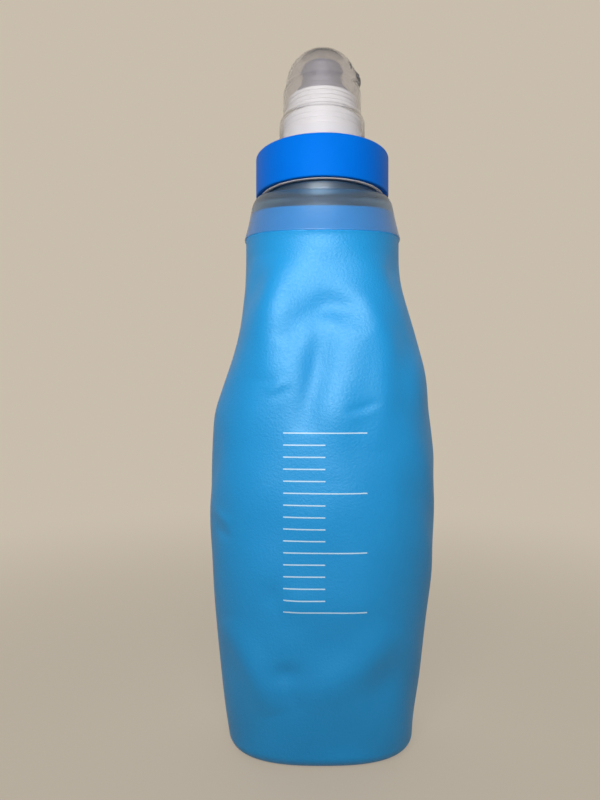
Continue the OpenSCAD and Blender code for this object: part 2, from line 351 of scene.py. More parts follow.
def moulded(name, pale, deep, mottle, grain, grain_depth, rough, lets_through=None, **surface):
    """Plastic whose colour drifts between two shades, with a grain in its surface and its gloss.

    mottle and grain are widths in millimetres, grain_depth is a depth in millimetres, and rough is a range.
    lets_through is the tint of the light that a clear wall passes on to what is behind it.
    """
    material, tree, coords = new_material(name)
    drift = add(tree, "ShaderNodeTexNoise", {"Vector": coords, "Scale": per_mm(mottle), "Detail": 3})
    # The Mix node's colour sockets share their names with its other types, so they go by number
    colour = add(
        tree, "ShaderNodeMix", {0: drift.outputs["Fac"], 6: linear(deep), 7: linear(pale)}, data_type="RGBA"
    )
    fine = add(tree, "ShaderNodeTexNoise", {"Vector": coords, "Scale": per_mm(grain), "Detail": 4, "Roughness": 0.6})
    gloss = add(
        tree,
        "ShaderNodeMapRange",
        {"Value": fine.outputs["Fac"], "From Min": 0.3, "From Max": 0.7, "To Min": rough[0], "To Max": rough[1]},
    )
    bump = add(tree, "ShaderNodeBump", {"Height": fine.outputs["Fac"], "Distance": grain_depth * MM})
    shader = add(
        tree,
        "ShaderNodeBsdfPrincipled",
        {
            "Base Color": colour.outputs[2],
            "Roughness": gloss.outputs["Result"],
            "Normal": bump.outputs["Normal"],
            **surface,
        },
    )
    surface_shader = shader.outputs["BSDF"]
    if lets_through:
        path = add(tree, "ShaderNodeLightPath", {}).outputs
        passed = add(
            tree, "ShaderNodeMath", {0: path["Is Shadow Ray"], 1: path["Is Diffuse Ray"]}, operation="MAXIMUM"
        )
        clear = add(tree, "ShaderNodeBsdfTransparent", {"Color": linear(lets_through)})
        surface_shader = add(
            tree, "ShaderNodeMixShader", {0: passed.outputs["Value"], 1: surface_shader, 2: clear.outputs["BSDF"]}
        ).outputs["Shader"]
    add(tree, "ShaderNodeOutputMaterial", {"Surface": surface_shader})
    return material


# The moulded pieces have a grain near 0.1 mm and the film one near 0.2 mm. Both are drawn coarser, to show.

# Calendered TPU film: dyed through and pressed between matt rolls, so it has a broad satin sheen that a fine grain
# breaks up
film_material = moulded(
    "calendered_tpu_film",
    pale="#1296DC",
    deep="#0D8CD0",
    mottle=26,
    grain=0.8,
    grain_depth=0.13,
    rough=(0.42, 0.52),
    **{"IOR": 1.5, "Specular IOR Level": 1.0, "Specular Tint": linear("#BCE2F0")},
)
# Heavier film of the base: a shade deeper and more matt
base_material = moulded(
    "heavy_tpu_film",
    pale="#0E88CA",
    deep="#0A7EBC",
    mottle=18,
    grain=0.5,
    grain_depth=0.06,
    rough=(0.5, 0.62),
    **{"IOR": 1.5},
)
# Clear TPU, injection moulded: satin with slight flow waves and a trace of haze, so that what is behind it blurs
# Painted light: the blue tint of these clear walls stands in for the blue light that the lit film casts inside the
# bottle
collar_material = moulded(
    "clear_tpu_moulding",
    pale="#96C0E0",
    deep="#88B4D6",
    mottle=14,
    grain=2.4,
    grain_depth=0.02,
    rough=(0.28, 0.4),
    lets_through="#F2F4F8",
    **{"IOR": 1.5, "Transmission Weight": 0.95, "Coat Weight": 0.6, "Coat Roughness": 0.4},
)
# Polypropylene dyed blue, moulded with a fine spark finish: satin, with weak wide highlights
ring_material = moulded(
    "blue_pp_moulding",
    pale="#006EDC",
    deep="#0066D2",
    mottle=12,
    grain=0.35,
    grain_depth=0.03,
    rough=(0.5, 0.6),
    **{"IOR": 1.49, "Specular IOR Level": 0.3, "Specular Tint": linear("#4FA8FF")},
)
# White polypropylene from a polished mould: clean and satin
white_material = moulded(
    "white_pp_moulding",
    pale="#F4F2F1",
    deep="#EDEBEB",
    mottle=9,
    grain=0.4,
    grain_depth=0.012,
    rough=(0.36, 0.46),
    **{"IOR": 1.49},
)
# Natural LDPE without dye: a cool grey that light partly passes through, with a soft gloss
spout_material = moulded(
    "natural_ldpe_moulding",
    pale="#C8C4CA",
    deep="#BAB6BD",
    mottle=5,
    grain=0.5,
    grain_depth=0.01,
    rough=(0.26, 0.36),
    lets_through="#D4D6D8",
    **{"IOR": 1.51, "Transmission Weight": 0.6},
)
# Clarified polypropylene: clear with a trace of milkiness, and a gloss that a worn mould has dulled a little
cover_material = moulded(
    "clarified_pp_moulding",
    pale="#ECEBED",
    deep="#E3E2E5",
    mottle=7,
    grain=1.2,
    grain_depth=0.01,
    rough=(0.08, 0.15),
    lets_through="#FCFCFD",
    **{"IOR": 1.45, "Transmission Weight": 0.95},
)
# Pressed silicone rubber: off-white and matt
silicone_material = moulded(
    "pressed_silicone",
    pale="#E2E3DF",
    deep="#D5D7D3",
    mottle=3,
    grain=0.3,
    grain_depth=0.02,
    rough=(0.5, 0.62),
    **{"IOR": 1.41},
)
# Screen-printed ink: pale, thin and a little rough over the film's grain
ink_material = moulded(
    "pale_screen_ink",
    pale="#C6E6FA",
    deep="#B5DBF4",
    mottle=2,
    grain=0.4,
    grain_depth=0.02,
    rough=(0.45, 0.6),
    **{"IOR": 1.5},
)

# Profile of the collar, which the film follows under the skirt


def collar_r(z):
    """Outer radius of the collar between the skirt's edge and the shoulder."""
    u = np.clip((z - skirt_z) / (shoulder_z - skirt_z), 0, 1)
    return mix(shoulder_r, skirt_r, mix(1 - u**shoulder_turn, (1 - u) ** flare_bend, flare_share))


def shoulder_in_r(z):
    """Inner radius of the shoulder, parallel to its outside."""
    return collar_r(z + shoulder_t) - shoulder_t


def pocket_r(z):
    """Radius of the pocket under the skirt that the film's upper edge is welded into."""
    return collar_r(z) - skirt_t - pocket_step * (z - skirt_z) / (film_h - skirt_z)


def saddle(angle):
    """How far the soft collar and the film in it ride up at an angle: most at the sides, none at the front."""
    return skirt_dip * np.cos(angle) ** 2


# Film body

throat_a = skirt_r - throat_in
throat_b = pocket_edge_r - throat_step

# Points round each half, and rows of points down each part of the wall
film_columns = 140
pocket_rows = 10
throat_rows = 26
wall_rows = 190
foot_rows = 14
lip_rows = 6
base_rows = 14

# How the wall swells from the foot, slopes to the neck and bulges under the skirt, and how its points crowd there
base_swell = 1.4
neck_slope = 1.35
bulge_rise = 4
row_crowding = 1.5
slack_square = 0.42
slack_rise = 1.8
seam_crowding = 0.6


def oval(a, b, square, angle):
    """Points of an oval with half-axes a and b."""
    c, s = np.cos(angle), np.sin(angle)
    return a * np.sign(c) * np.abs(c) ** (2 / square), b * np.sign(s) * np.abs(s) ** (2 / square)


def side(z, base, belly, throat):
    """Half-axis of the film at a height."""
    if z < belly_z:
        return mix(base, belly, 1 - (1 - (z - foot_round) / (belly_z - foot_round)) ** base_swell)
    share = (z - belly_z) / (throat_z - belly_z)
    return mix(throat, belly, (1 + math.cos(math.pi * share**neck_slope)) / 2)


def squareness(z):
    """How square the film's oval is at a height. Under the neck the slack film lies flatter at the front and back."""
    if z < belly_z:
        return mix(base_square, belly_square, (z - foot_round) / (belly_z - foot_round))
    share = (z - belly_z) / (throat_z - belly_z)
    return mix(belly_square, 2, share) + slack_square * math.sin(math.pi * share**slack_rise)


def smooth_film(angle):
    """Outside of the film before it creases: rows of points round the body, from its welded edge to the lip."""
    rows = []
    for z in np.linspace(film_h, skirt_z - weld_run, pocket_rows):
        r = pocket_r(z) + weld_sink
        rows.append((r * np.cos(angle), r * np.sin(angle), z + saddle(angle)))
    weld = rows[-1]
    throat = *oval(throat_a, throat_b, 2, angle), np.full_like(angle, throat_z)
    for u in np.linspace(0, 1, throat_rows + 1)[1:] ** row_crowding:
        w = 1 - (1 - u) ** bulge_rise
        rows.append((mix(weld[0], throat[0], w), mix(weld[1], throat[1], w), mix(weld[2], throat[2], u)))
    for z in np.linspace(throat_z, foot_round, wall_rows + 1)[1:]:
        a, b = side(z, base_a, belly_a, throat_a), side(z, base_b, belly_b, throat_b)
        rows.append((*oval(a, b, squareness(z), angle), np.full_like(angle, z)))
    for turn in np.linspace(0, math.pi / 2, foot_rows + 1)[1:]:
        inset, z = foot_round * (1 - math.cos(turn)), foot_round * (1 - math.sin(turn))
        rows.append((*oval(base_a - inset, base_b - inset, base_square, angle), np.full_like(angle, z)))
    for inset in np.linspace(foot_round, foot_round + foot_lip, lip_rows + 1)[1:]:
        rows.append((*oval(base_a - inset, base_b - inset, base_square, angle), np.zeros_like(angle)))
    return np.moveaxis(np.array(rows), 1, 2)


# Creases run through points (x, z), dents sit at one, and swells go across the body at a height; a height below zero
# goes in
Crease = namedtuple("Crease", "path width height")
Dent = namedtuple("Dent", "x z across up height")
Swell = namedtuple("Swell", "z up height")
Ripple = namedtuple("Ripple", "length turn start height")

front_creases = (
    # Valley down from the hollow, and the broad ridge beside it
    Crease(((-1.5, 154), (-3.5, 144), (-5, 132), (-7.5, 116)), 4, -1.4),
    Crease(((8, 152), (6, 139), (4, 122), (2, 100)), 6, 0.8),
    # Arched fold over it
    Crease(((-15, 145), (-10, 153), (0, 159), (8, 157.5), (15, 151)), 4.5, -1.1),
    # Edges of the flat on the right and the left
    Crease(((15, 164), (18.5, 147), (20, 130), (18, 110)), 4.8, 0.8),
    Crease(((-16, 176), (-19, 164), (-21.5, 150), (-22, 134)), 6, 1.6),
    # Small wrinkles either side
    Crease(((-20, 129), (-14, 134)), 1.7, 0.35),
    Crease(((-18.5, 127), (-12, 131.5)), 1.5, -0.3),
    Crease(((6.5, 123), (12, 124), (18, 127)), 1.3, -0.45),
    Crease(((7, 120.6), (17, 123.6)), 1.8, 0.25),
    # Wrinkles on the left edge of the belly
    Crease(((-40, 88), (-32, 84)), 1.8, 0.4),
    Crease(((-39, 82), (-32, 79)), 1.8, -0.4),
    # Two ridges that meet above the base
    Crease(((-34, 50), (-28, 42), (-22, 33), (-16, 20)), 5.5, 1.5),
    Crease(((-9, 26), (-1, 29), (12, 37), (24, 50)), 7, 1.6),
)
front_dents = (
    # Flat of the slack film under the neck
    Dent(-2, 152, 13, 30, -0.9),
    # Hollow in it, with its swollen rim
    Dent(2, 158, 8, 6, -0.7),
    Dent(-16, 158, 7, 16, 0.9),
    Dent(12, 149, 6, 12, 0.9),
    # Flat on the right
    Dent(27.5, 143, 5.5, 11, -1.3),
    # Pinches under the skirt
    Dent(24.5, 173, 2.6, 6, -0.8),
    Dent(-24, 168, 3.5, 8, -0.5),
    # Soft swellings and dents of the lower half
    Dent(24, 94, 5, 11, 0.4),
    Dent(-9, 59, 6.5, 5.5, 0.7),
    Dent(12, 58, 7.5, 6.5, 0.6),
    Dent(-17.5, 61, 3.5, 4.5, -0.6),
    Dent(-12.5, 34, 5, 3.5, -1),
    Dent(22, 30, 6, 8, -1.1),
)
# The rear has folds of its own, from the same handling
rear_creases = (
    Crease(((-14, 158), (-4, 142), (3, 120), (2, 98)), 4.4, -1.1),
    Crease(((-7, 158), (3, 143), (10, 122), (8, 102)), 4.6, 0.8),
    Crease(((24, 150), (20, 128), (22, 104)), 4.6, 0.7),
    Crease(((-24, 118), (-12, 112), (-4, 114)), 1.8, -0.5),
    Crease(((14, 84), (24, 78)), 1.6, 0.35),
    Crease(((-30, 52), (-20, 36), (-8, 22)), 4.2, 0.85),
    Crease(((4, 20), (16, 33), (24, 48)), 4.2, 0.75),
)
rear_dents = (
    Dent(6, 164, 8, 7, -1.2),
    Dent(-12, 163, 6, 9, 0.6),
    Dent(-27, 138, 5, 12, -1.1),
    Dent(-22, 90, 8, 14, 0.5),
    Dent(10, 62, 7, 7, 0.5),
    Dent(-3, 44, 6, 6, -0.7),
    Dent(25, 170, 3, 7, -0.6),
)
# Straight runs and corners of the two sides, and how far the soft body leans to one side
left_edge = (Swell(146, 13, -0.9), Swell(122, 6, 0.4), Swell(102, 16, -0.7))
right_edge = (Swell(139, 6, 0.3), Swell(124, 7, -0.6), Swell(107, 6, 0.4), Swell(100, 24, -0.8))
lean = (Swell(146, 20, 1.3), Swell(20, 42, -0.85))
# Slow unevenness of the whole film, weaker at the sides
ripples = (
    Ripple(43, 0.35, 0.3, 0.22),
    Ripple(31, 1.3, 1.9, 0.2),
    Ripple(24, 2.27, 4, 0.14),
    Ripple(17, 0.87, 2.2, 0.08),
)
side_ripple = 0.35
# Welded seam: a low bead with a groove where the two halves meet
seam_h = 0.45
seam_w = 1.2
seam_groove_h = 0.3
seam_groove_w = 0.45
# Where relief starts and where it is full: below the skirt, above the foot, and by how far the film faces front or back
weld_fade = (skirt_z - 1, skirt_z - 12)
lean_fade = (skirt_z - 1, skirt_z - 14)
foot_fade = (2, 9)
face_fade = (0.12, 0.5)
edge_fade = (0.3, 0.75)


def crease_height(crease, x, z):
    """Height of a crease at points of the film. It fades out at both ends."""
    path = np.array(crease.path, float)
    steps = np.linalg.norm(np.diff(path, axis=0), axis=1)
    reached = np.concatenate([[0], np.cumsum(steps)]) / steps.sum()
    nearest = np.full_like(x, np.inf)
    share = np.zeros_like(x)
    for start, end, low, high in zip(path, path[1:], reached, reached[1:]):
        along = end - start
        t = np.clip(((x - start[0]) * along[0] + (z - start[1]) * along[1]) / (along @ along), 0, 1)
        gap = np.hypot(x - start[0] - t * along[0], z - start[1] - t * along[1])
        closer = gap < nearest
        nearest = np.where(closer, gap, nearest)
        share = np.where(closer, mix(low, high, t), share)
    return crease.height * np.exp(-((nearest / crease.width) ** 2)) * np.sin(math.pi * share) ** 0.7


def dent_height(dent, x, z):
    """Height of a dent at points of the film."""
    return dent.height * np.exp(-(((x - dent.x) / dent.across) ** 2) - ((z - dent.z) / dent.up) ** 2)


def face_height(creases, dents, x, z):
    """Height of all creases and dents of one half of the film."""
    return sum(crease_height(c, x, z) for c in creases) + sum(dent_height(d, x, z) for d in dents)


def swell_height(swells, z):
    """Height of swells together, at a height of the body."""
    return sum(s.height * np.exp(-(((z - s.z) / s.up) ** 2)) for s in swells)


def ridge_height(height, width, y):
    """Height of a ridge along the line where y is 0."""
    return height * np.exp(-((y / width) ** 2))


def film_relief(x, y, z, angle):
    """Height of the film's creases, seams and edge folds over its smooth form."""
    facing = np.abs(np.sin(angle)) * np.ones_like(z)
    face = ease(*face_fade, facing)
    free = ease(*weld_fade, z) * ease(*foot_fade, z)
    front = face_height(front_creases, front_dents, x, z)
    rear = face_height(rear_creases, rear_dents, x, z)
    drift = sum(
        height * np.sin(2 * math.pi * (x * math.cos(turn) + z * math.sin(turn) + y) / length + start)
        for length, turn, start, height in ripples
    )
    edges = np.where(x < 0, swell_height(left_edge, z), swell_height(right_edge, z)) * (1 - ease(*edge_fade, facing))
    seam = np.where(facing < 0.5, ridge_height(seam_h, seam_w, y) - ridge_height(seam_groove_h, seam_groove_w, y), 0)
    return free * (np.where(y < 0, front, rear) * face + drift * mix(side_ripple, 1, face) + edges + seam)


def creased_film():
    """Outside and inside of the whole film, in rows of points round the body."""
    share = np.arange(film_columns) / film_columns
    half = math.pi * (share - seam_crowding * np.sin(2 * math.pi * share) / (2 * math.pi))
    angle = np.concatenate([half, half + math.pi])
    smooth = smooth_film(angle)
    down = np.gradient(smooth, axis=0)
    around = np.roll(smooth, -1, axis=1) - np.roll(smooth, 1, axis=1)
    normal = np.cross(down, around)
    normal /= np.linalg.norm(normal, axis=2, keepdims=True)
    x, y, z = np.moveaxis(smooth, 2, 0)
    outside = smooth + normal * film_relief(x, y, z, angle)[..., None]
    outside[..., 0] += swell_height(lean, z) * ease(*lean_fade, z)
    return outside, outside - normal * film_t


def film_half(name, outside, inside):
    """One half of the film as a closed skin: outside, inside, edges and seam walls."""
    rows, columns = outside.shape[:2]
    points = np.concatenate([outside, inside[::-1]])
    faces = grid_faces(2 * rows, columns, wrap_rows=True)
    for column in (0, columns - 1):
        for row in range(rows - 1):
            facing_row = 2 * rows - 1 - row
            faces.append(tuple(r * columns + column for r in (row, row + 1, facing_row - 1, facing_row)))
    return new_object(name, points, faces)


film_outside, film_inside = creased_film()
rear_half = list(range(film_columns + 1))
front_half = list(range(film_columns, 2 * film_columns)) + [0]
film_front = film_half("film_front", film_outside[:, front_half], film_inside[:, front_half])
film_rear = film_half("film_rear", film_outside[:, rear_half], film_inside[:, rear_half])


def base_plate():
    """Oval base: a sprung-in plate flush with the lip, and a flange welded on top of the lip."""
    columns = 2 * film_columns
    angle = np.arange(columns) * 2 * math.pi / columns
    # Inset from the film's outside, and height, from the middle of the plate's underside round to the middle of its top
    lip = foot_round + foot_lip
    weld = lip - base_weld
    top = film_t + base_t
    middle_inset = base_b - 0.01
    shares = np.linspace(0, 1, base_rows)
    outline = [(mix(middle_inset, lip, s), base_spring * (1 - s**2) ** 2) for s in shares]
    outline += [(lip, film_t), (weld, film_t), (weld, top)]
    outline += [(mix(lip, middle_inset, s), top + base_spring * (1 - (1 - s) ** 2) ** 2) for s in shares]
    rings = []
    for inset, z in outline:
        x, y = oval(base_a - inset, base_b - inset, base_square, angle)
        rings.append(np.stack([x + swell_height(lean, 0.0), y, np.full_like(x, z)], axis=1))
    points = np.array(rings)
    faces = grid_faces(len(rings), columns, wrap_columns=True)
    faces.append(tuple(range(columns)))
    faces.append(tuple((len(rings) - 1) * columns + i for i in range(columns)))
    return new_object("film_base", points, faces)


film_base = base_plate()

# Neck collar

collar_columns = 192
collar_steps = 26


def collar_outline(angle):
    """Outline of the collar at an angle: neck, shoulder, skirt, the pocket for the film, and the bore."""
    under_z = shoulder_z - shoulder_t
    soft = [(neck_r + bead_out, shoulder_z, 0.5), (shoulder_r, shoulder_z, 0.3)]
    soft += [(collar_r(z), z, 0) for z in np.linspace(shoulder_z, skirt_z, collar_steps)[1:-1]]
    soft += [(skirt_r, skirt_z, 0.3), (pocket_edge_r, skirt_z, 0.2)]
    soft += [(pocket_r(z), z, 0) for z in np.linspace(skirt_z, film_h, collar_steps)[1:-1]]
    soft += [(pocket_r(film_h), film_h, 0.2), (shoulder_in_r(film_h), film_h, 0.3)]
    soft += [(shoulder_in_r(z), z, 0) for z in np.linspace(film_h, under_z - shoulder_fillet, collar_steps)[1:]]
    soft += [(shoulder_in_r(under_z), under_z, shoulder_fillet), (neck_bore_r, under_z, 0.8)]
    bead_z = shoulder_z + bead_h
    neck = [(neck_bore_r, neck_top_z, 0.5), (neck_r, neck_top_z, 0.6)]
    neck += [(neck_r, bead_z, 0.4), (neck_r + bead_out, bead_z, 0.6)]
    return rounded(neck + [(r, z + saddle(angle), turn) for r, z, turn in soft])


collar = turned("neck_moulding", collar_outline, collar_columns)

# Screw cap

cap_columns = 160
post_columns = 64

ring = turned(
    "cap_sleeve",
    rounded(
        [(ring_in_r, ring_z, 0.2), (ring_r, ring_z, 0.7), (ring_r, ring_top_z, 0.8), (ring_lip_r, ring_top_z, 0.5)]
        + [(ring_lip_r, deck_top_z, 0.2), (ring_in_r, deck_top_z, 0.2)]
    ),
    cap_columns,
)


def beads(low_z, high_z, count, crest_r, depth, lean_in=0):
    """Corners of the beads up a wall that may lean in: wide bands with a narrow groove between them."""
    pitch = (high_z - low_z) / count
    corners = []
    for i in range(count):
        low = low_z + pitch * i + bead_gap / 2
        high = low + pitch - bead_gap
        crest = crest_r - lean_in * (i + 0.5) / count
        corners += [(crest - depth, low, 0.1), (crest, low, 0.3), (crest, high, 0.3), (crest - depth, high, 0.1)]
    return corners


def cap_outline():
    """Outline of the cap: skirt, deck, tower with its bands and beads, stem with the seal's groove, and the inside."""
    low, high = groove_z - groove_h / 2, groove_z + groove_h / 2
    top_in_z = tower_top_z - tower_top_t
    return rounded(
        [(cap_skirt_in_r, cap_skirt_z, 0.3), (cap_skirt_r, cap_skirt_z, 0.35), (cap_skirt_r, deck_top_z, 0.3)]
        + [(tower_r, deck_top_z, 0.5), (tower_r, tower_foot_z, 0.35)]
        + beads(tower_foot_z, tower_plain_z, tower_bands, tower_plain_r, band_groove)
        + beads(tower_plain_z, tower_top_z, bead_count, bead_crest_r, bead_depth, bead_lean)
        + [(bead_crest_r - bead_lean - bead_depth, tower_top_z, 0.2), (stem_r, tower_top_z, 0.4)]
        + [(stem_r, low, 0.1), (groove_r, low, 0.2), (groove_r, high, 0.2), (stem_r, high, 0.1)]
        + [(stem_r, stem_top_z, 0.4), (stem_bore_r, stem_top_z, 0.3), (stem_bore_r, top_in_z, 0.2)]
        + [(tower_bore_r, top_in_z, 0.8), (tower_bore_r, deck_z, 0.6), (cap_skirt_in_r, deck_z, 0.5)]
    )


def sealing_post():
    """Post that shuts the spout's tip, with the spokes that hold it in the stem."""
    spoke_z = stem_top_z - 2 * spoke_t
    made = turned(
        "sealing_post",
        rounded([(0, spoke_z, 0), (post_r, spoke_z, 0.3), (post_r, post_top_z, 0.5), (0, post_top_z, 0)]),
        post_columns,
    )
    work = bmesh.new()
    work.from_mesh(made.data)
    length = (stem_bore_r + groove_r) / 2
    for i in range(spoke_count):
        angle = 2 * math.pi * i / spoke_count
        spoke = bmesh.ops.create_cube(work, size=MM)["verts"]
        bmesh.ops.scale(work, vec=(length, spoke_t, spoke_t), verts=spoke)
        bmesh.ops.translate(work, vec=Vector((length / 2, 0, spoke_z + spoke_t / 2)) * MM, verts=spoke)
        turn = np.array([[math.cos(angle), -math.sin(angle)], [math.sin(angle), math.cos(angle)]])
        for vert in spoke:
            vert.co.x, vert.co.y = turn @ np.array(vert.co[:2])
        edges = list({edge for vert in spoke for edge in vert.link_edges})
        bmesh.ops.bevel(work, geom=edges, offset=0.15 * MM, segments=2, affect="EDGES")
    work.to_mesh(made.data)
    work.free()
    shade(made.data)
    return made


cap_shell = turned("cap_shell", cap_outline(), cap_columns)
post = sealing_post()

# Spout and dust cover

spout_columns = 96
cover_columns = 180
vent_columns = 24

spout = turned(
    "spout_tip",
    rounded(
        [(spout_bore_r, tower_top_z, 0.2), (flange_r, tower_top_z, 0.9), (flange_r, tower_top_z + flange_t, 0.9)]
        + [(spout_r, tower_top_z + flange_t, 0.6), (spout_r, spout_top_z, tip_round), (tip_hole_r, spout_top_z, 0.4)]
        + [(tip_hole_r, spout_top_z - tip_t, 0.2), (spout_bore_r, spout_top_z - tip_t, 0.4)],
        steps=8,
    ),
    spout_columns,
)


def dome_arc(radius, start, end, steps):
    """Points up or down a dome of that radius, between two angles from its edge."""
    return [(radius * math.cos(a), dome_z + radius * math.sin(a), 0) for a in np.linspace(start, end, steps)]


def cover_outline(angle):
    """Outline of the dust cover at an angle: band, sleeve, dome with the pull lip, and the inside."""
    turn = abs(math.remainder(angle, 2 * math.pi))
    lip = float(1 - ease(pull_angle / 2 - pull_fade, pull_angle / 2, turn))
    low_z = dome_z + pull_rise
    high_z = low_z + pull_h
    start, end = (math.asin((z - dome_z) / dome_r) for z in (low_z, high_z))
    ledge = []
    for share, out in pull_profile:
        a = mix(start, end, share)
        r, z = dome_r * math.cos(a), dome_z + dome_r * math.sin(a)
        ledge.append((r + lip * out * (dome_r + pull_out - r), mix(z, low_z + pull_h * share, lip), 0))
    inner_r = dome_r - cover_t
    wall_lag = cover_t / 3
    sleeve_in_r = sleeve_r - cover_t
    top = math.pi / 2
    return rounded(
        [(band_r, deck_top_z, 0.4), (band_r, cover_step_z, 0.9), (sleeve_r, cover_step_z + cover_taper, 0.9)]
        + [(sleeve_r, dome_z - ledge_h, 1.2), (dome_r, dome_z, 1)]
        + ledge
        + dome_arc(dome_r, end + pull_clear, math.acos(gate_r / dome_r), 24)
        + [(gate_r - gate_draft, cover_top_z + gate_h, 0.08), (0, cover_top_z + gate_h, 0)]
        + dome_arc(inner_r, top, 0, 30)
        + [(inner_r, dome_z - wall_lag, 0.8), (sleeve_in_r, dome_z - ledge_h - wall_lag, 1)]
        + [(sleeve_in_r, cover_step_z + cover_taper - wall_lag, 0.7), (band_in_r, cover_step_z - wall_lag, 0.7)]
        + [(band_in_r, deck_top_z, 0.3)]
    )


def vent_cutter():
    """Rounded slot that cuts the vent through the dome."""
    z = dome_z + pull_rise + pull_h
    corners = []
    for a in np.linspace(0, 2 * math.pi, vent_columns, endpoint=False):
        straight = (vent_h - vent_w) / 2 * np.sign(math.sin(a))
        corners.append((vent_w / 2 * math.cos(a), vent_w / 2 * math.sin(a) + straight))
    c, s = math.cos(vent_angle), math.sin(vent_angle)
    points = [
        (r * c - across * s, r * s + across * c, z + up) for r in (dome_r / 2, dome_r * 1.5) for across, up in corners
    ]
    faces = grid_faces(2, vent_columns, wrap_columns=True)
    faces += [tuple(range(vent_columns)), tuple(range(vent_columns, 2 * vent_columns))]
    return new_object("vent_cutter", points, faces)


cover = turned("cover_dome", cover_outline, cover_columns)
cutter = vent_cutter()
cut = cover.modifiers.new("vent", "BOOLEAN")
cut.object = cutter
cut.operation = "DIFFERENCE"
cut.solver = "EXACT"
baked(cover)
bpy.data.objects.remove(cutter)
shade(cover.data)

# Screw thread and printed gauge, by Geometry Nodes


def new_tree(name, inputs):
    """Geometry Nodes tree with named inputs, given as {name: socket type}."""
    tree = bpy.data.node_groups.new(name, "GeometryNodeTree")
    tree.interface.new_socket("Geometry", in_out="OUTPUT", socket_type="NodeSocketGeometry")
    for label, kind in inputs.items():
        tree.interface.new_socket(label, in_out="INPUT", socket_type=kind)
    return tree, add(tree, "NodeGroupInput", {}).outputs


def grown(name, tree, values):
    """Plain mesh object that a tree makes from its named inputs."""
    made = bpy.data.objects.new(name, bpy.data.meshes.new(name))
    bpy.context.scene.collection.objects.link(made)
    modifier = made.modifiers.new(tree.name, "NODES")
    modifier.node_group = tree
    for item in tree.interface.items_tree:
        if item.in_out == "INPUT":
            modifier[item.identifier] = values[item.name]
    baked(made)
    finish_mesh(made.data)
    return made


def thread_tree():
    """Ridge that winds up a wall and runs out at both ends."""
    tree, given = new_tree(
        "screw_thread",
        {
            "Radius": "NodeSocketFloat",
            "Rise": "NodeSocketFloat",
            "Turns": "NodeSocketFloat",
            "Start": "NodeSocketFloat",
            "Depth": "NodeSocketFloat",
            "Width": "NodeSocketFloat",
            "Material": "NodeSocketMaterial",
        },
    )
    path = add(
        tree,
        "GeometryNodeCurveSpiral",
        {
            "Resolution": 64,
            "Rotations": given["Turns"],
            "Start Radius": given["Radius"],
            "End Radius": given["Radius"],
            "Height": given["Rise"],
        },
    )
    lift = add(tree, "ShaderNodeCombineXYZ", {"Z": given["Start"]})
    raised = add(
        tree, "GeometryNodeSetPosition", {"Geometry": path.outputs["Curve"], "Offset": lift.outputs["Vector"]}
    )
    upright = add(tree, "GeometryNodeSetCurveNormal", {"Curve": raised.outputs["Geometry"]}, mode="Z_UP")
    section = add(tree, "GeometryNodeCurvePrimitiveCircle", {"Resolution": 10, "Radius": 0.5})
    across = add(tree, "ShaderNodeMath", {0: given["Depth"], 1: 2.0}, operation="MULTIPLY")
    flat = add(tree, "ShaderNodeCombineXYZ", {"X": across.outputs["Value"], "Y": given["Width"], "Z": 1.0})
    shaped = add(
        tree, "GeometryNodeTransform", {"Geometry": section.outputs["Curve"], "Scale": flat.outputs["Vector"]}
    )
    along = add(tree, "GeometryNodeSplineParameter", {})
    ramps = [
        add(
            tree,
            "ShaderNodeMapRange",
            {"Value": along.outputs["Factor"], "From Min": tip, "From Max": full},
            interpolation_type="SMOOTHSTEP",
        ).outputs["Result"]
        for tip, full in ((0.0, 0.08), (1.0, 0.92))
    ]
    run_out = add(tree, "ShaderNodeMath", {0: ramps[0], 1: ramps[1]}, operation="MULTIPLY")
    swept = add(
        tree,
        "GeometryNodeCurveToMesh",
        {
            "Curve": upright.outputs["Curve"],
            "Profile Curve": shaped.outputs["Geometry"],
            "Scale": run_out.outputs["Value"],
            "Fill Caps": True,
        },
    )
    whole = add(tree, "GeometryNodeRealizeInstances", {"Geometry": swept.outputs["Mesh"]})
    dressed = add(
        tree, "GeometryNodeSetMaterial", {"Geometry": whole.outputs["Geometry"], "Material": given["Material"]}
    )
    add(tree, "NodeGroupOutput", {"Geometry": dressed.outputs["Geometry"]})
    return tree


